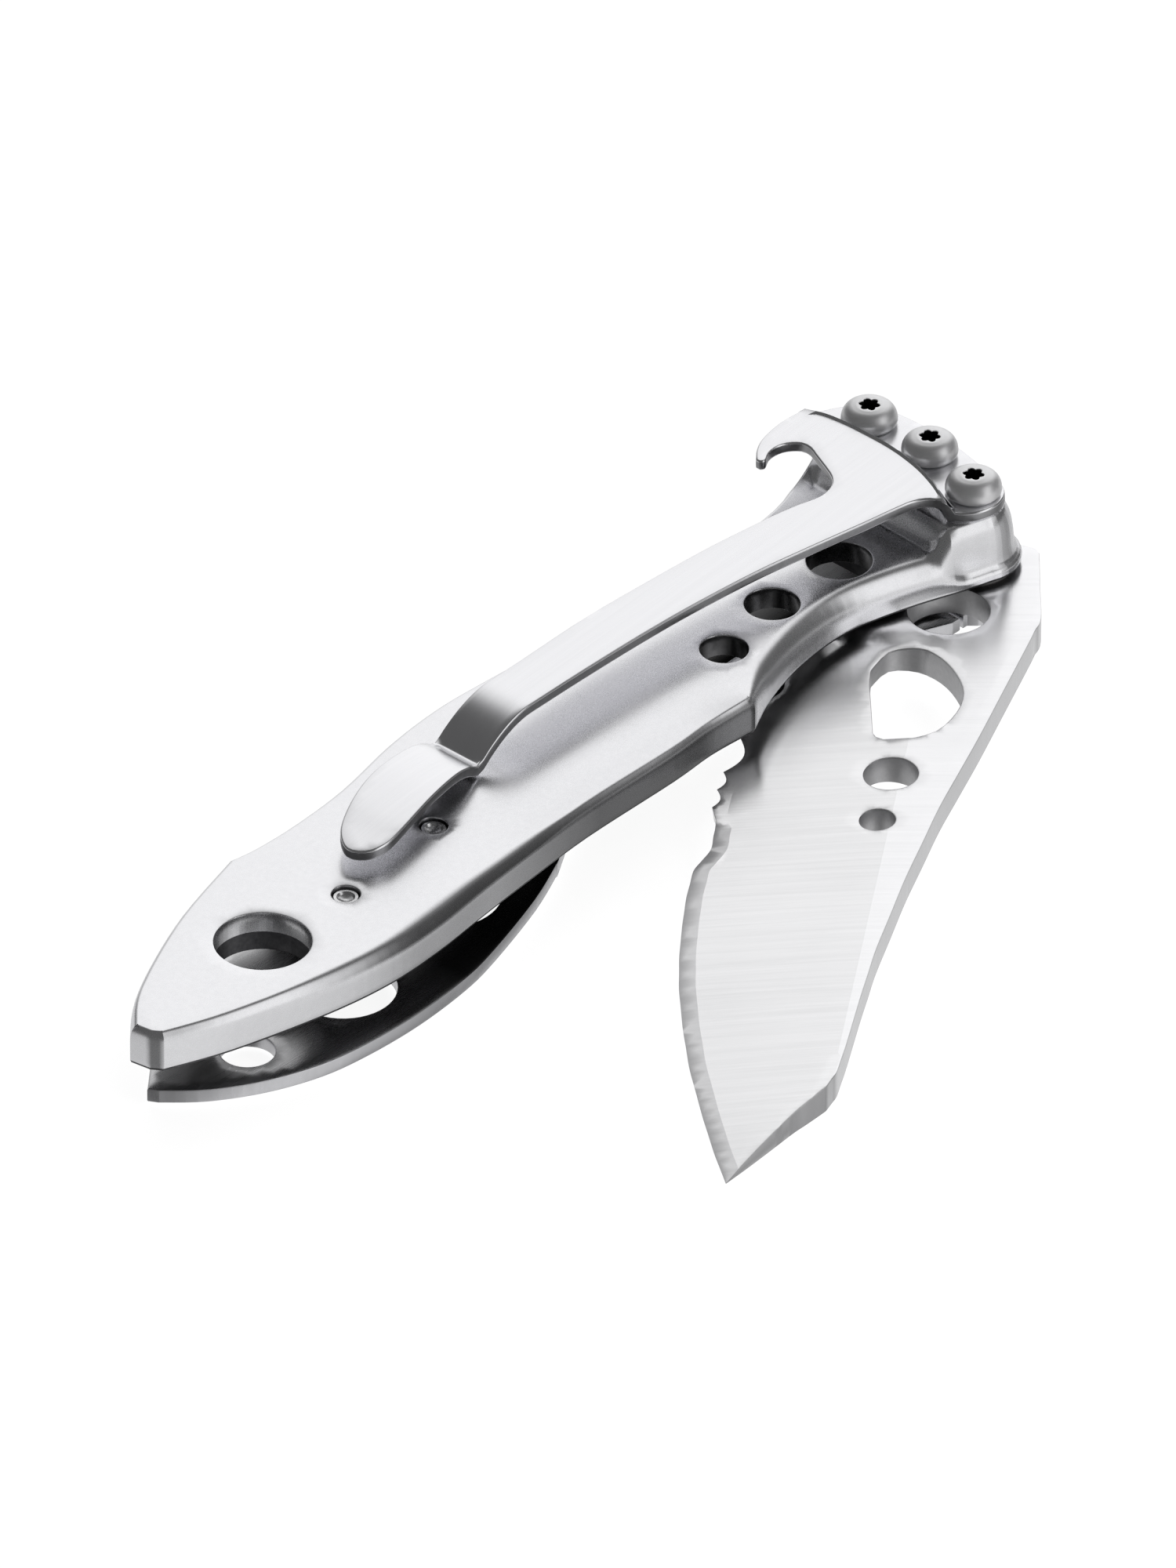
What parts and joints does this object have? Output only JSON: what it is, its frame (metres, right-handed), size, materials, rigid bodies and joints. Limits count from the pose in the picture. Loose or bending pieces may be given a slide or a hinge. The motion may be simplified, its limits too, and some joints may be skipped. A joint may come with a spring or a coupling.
{
  "type": "folding pocket knife",
  "caption": "All-metal folding pocket knife, blade half open, with a liner lock, a pocket clip and a bottle-opener hook.",
  "frame": {"origin": "the blade's pivot axis, in the plane of the lock plate's outer face", "axes": "+X from the tail to the pivot end along the handle, +Y to the handle's back, +Z out of the clip side"},
  "size_m": [0.0889, 0.0521, 0.0111],
  "materials": {
    "scale_steel": "bead-blasted satin casting",
    "plate_steel": "satin sheet",
    "blade_steel": "fine cross-brushed",
    "clip_steel": "fine satin sheet",
    "screw_steel": "plain turned",
    "pin_steel": "plain turned",
    "spacer_steel": "plain milled",
    "washer_plastic": "smooth"
  },
  "bodies": {
    "handle": {"handle_scale": "scale_steel", "lock_plate": "plate_steel", "pivot_barrel": "pin_steel", "pivot_screw": "screw_steel", "clip_screw_short": "screw_steel", "clip_screw_long": "screw_steel", "washer_upper": "washer_plastic", "washer_lower": "washer_plastic", "stop_pin": "pin_steel", "spacer_bush": "pin_steel", "clip_base": "clip_steel", "back_spacer": "spacer_steel", "spacer_pins": "pin_steel", "plate_rivets": "pin_steel"},
    "blade": {"blade": "blade_steel"},
    "lock_bar": {"lock_bar": "plate_steel", "detent_ball": "pin_steel"},
    "clip_arm": {"clip_arm": "clip_steel"}
  },
  "joints": [
    {"name": "blade_pivot", "type": "hinge", "parent": "handle", "child": "blade", "pos_m": [0, 0, 0.00245], "axis": [0, 0, 1], "range_deg": [-26, 154]},
    {"name": "lock_bar_flex", "type": "hinge", "parent": "handle", "child": "lock_bar", "pos_m": [-0.044, 0, 0], "axis": [0, 1, 0], "range_deg": [0, 2], "stiffness_Nm_per_rad": 0.1},
    {"name": "clip_arm_flex", "type": "hinge", "parent": "handle", "child": "clip_arm", "pos_m": [-0.013, 0.006, 0.0101], "axis": [0, 1, 0], "range_deg": [0, 3], "stiffness_Nm_per_rad": 0.1}
  ]
}
